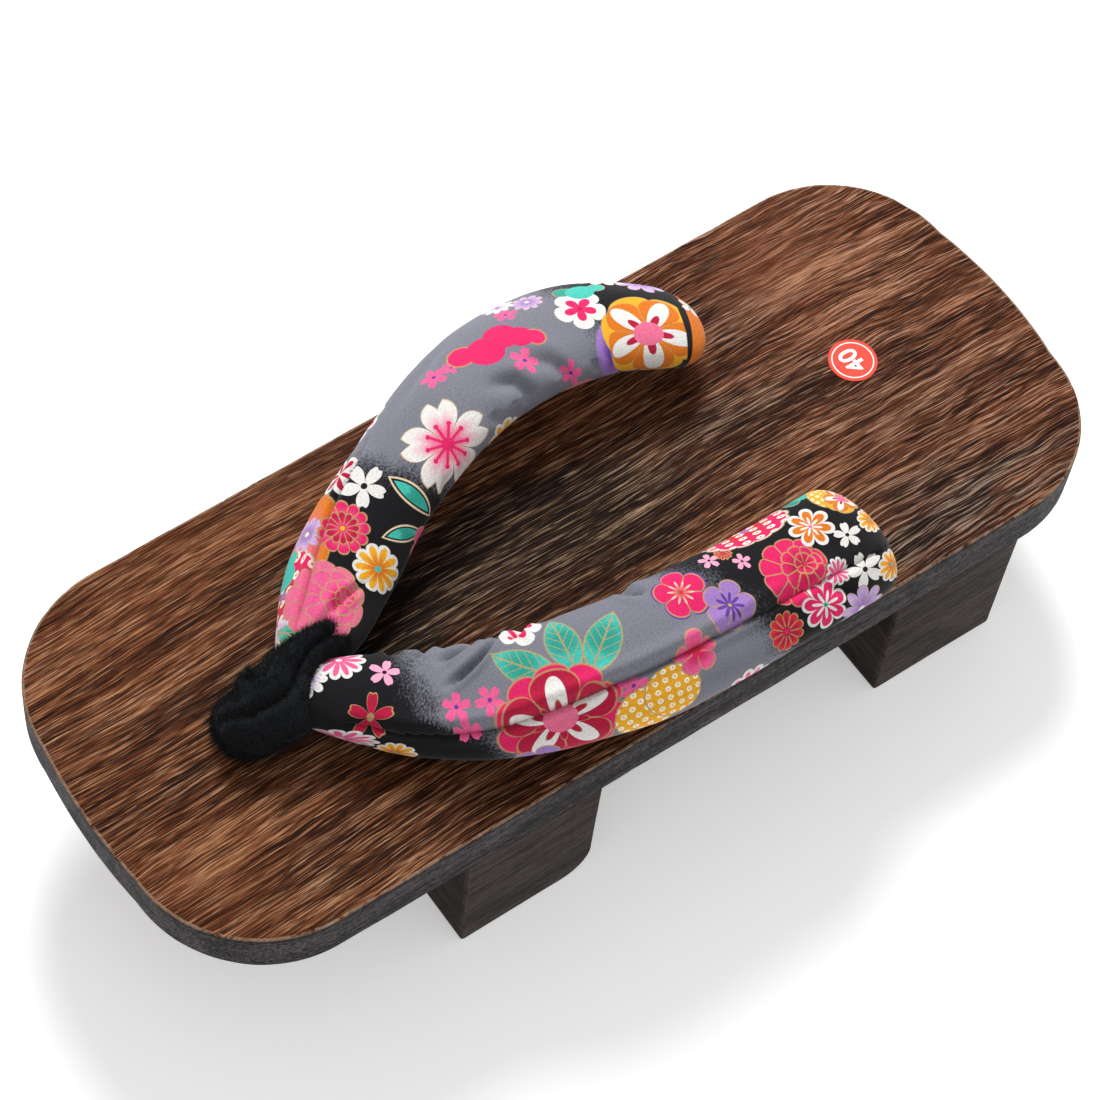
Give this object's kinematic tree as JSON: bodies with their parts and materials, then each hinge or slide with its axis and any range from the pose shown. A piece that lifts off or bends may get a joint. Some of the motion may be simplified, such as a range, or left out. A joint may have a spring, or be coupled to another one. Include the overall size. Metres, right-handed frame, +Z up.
{
  "type": "geta sandal",
  "caption": "Wooden sandal: a flat rounded board on two cross teeth, held to the foot by a padded cotton V strap and a black toe thong.",
  "frame": {"origin": "on the floor, under the middle of the board", "axes": "+Y towards the toe, +Z up, +X to the wearer's right"},
  "size_m": [0.1091, 0.255, 0.0763],
  "materials": {
    "scorched_wood": "scorched and brushed light wood, dark streaks with raised tan fibres, dull satin",
    "printed_cotton": "plain-weave cotton over soft padding, floral print on a black to lavender-grey ground",
    "black_pile": "short matte black pile over soft padding",
    "size_label": "coral red round paper label with a thin white ring and a plain white size number"
  },
  "bodies": {
    "root": {"board": "scorched_wood", "front_tooth": "scorched_wood", "rear_tooth": "scorched_wood", "straps": "printed_cotton", "toe_thong": "black_pile"}
  },
  "joints": []
}
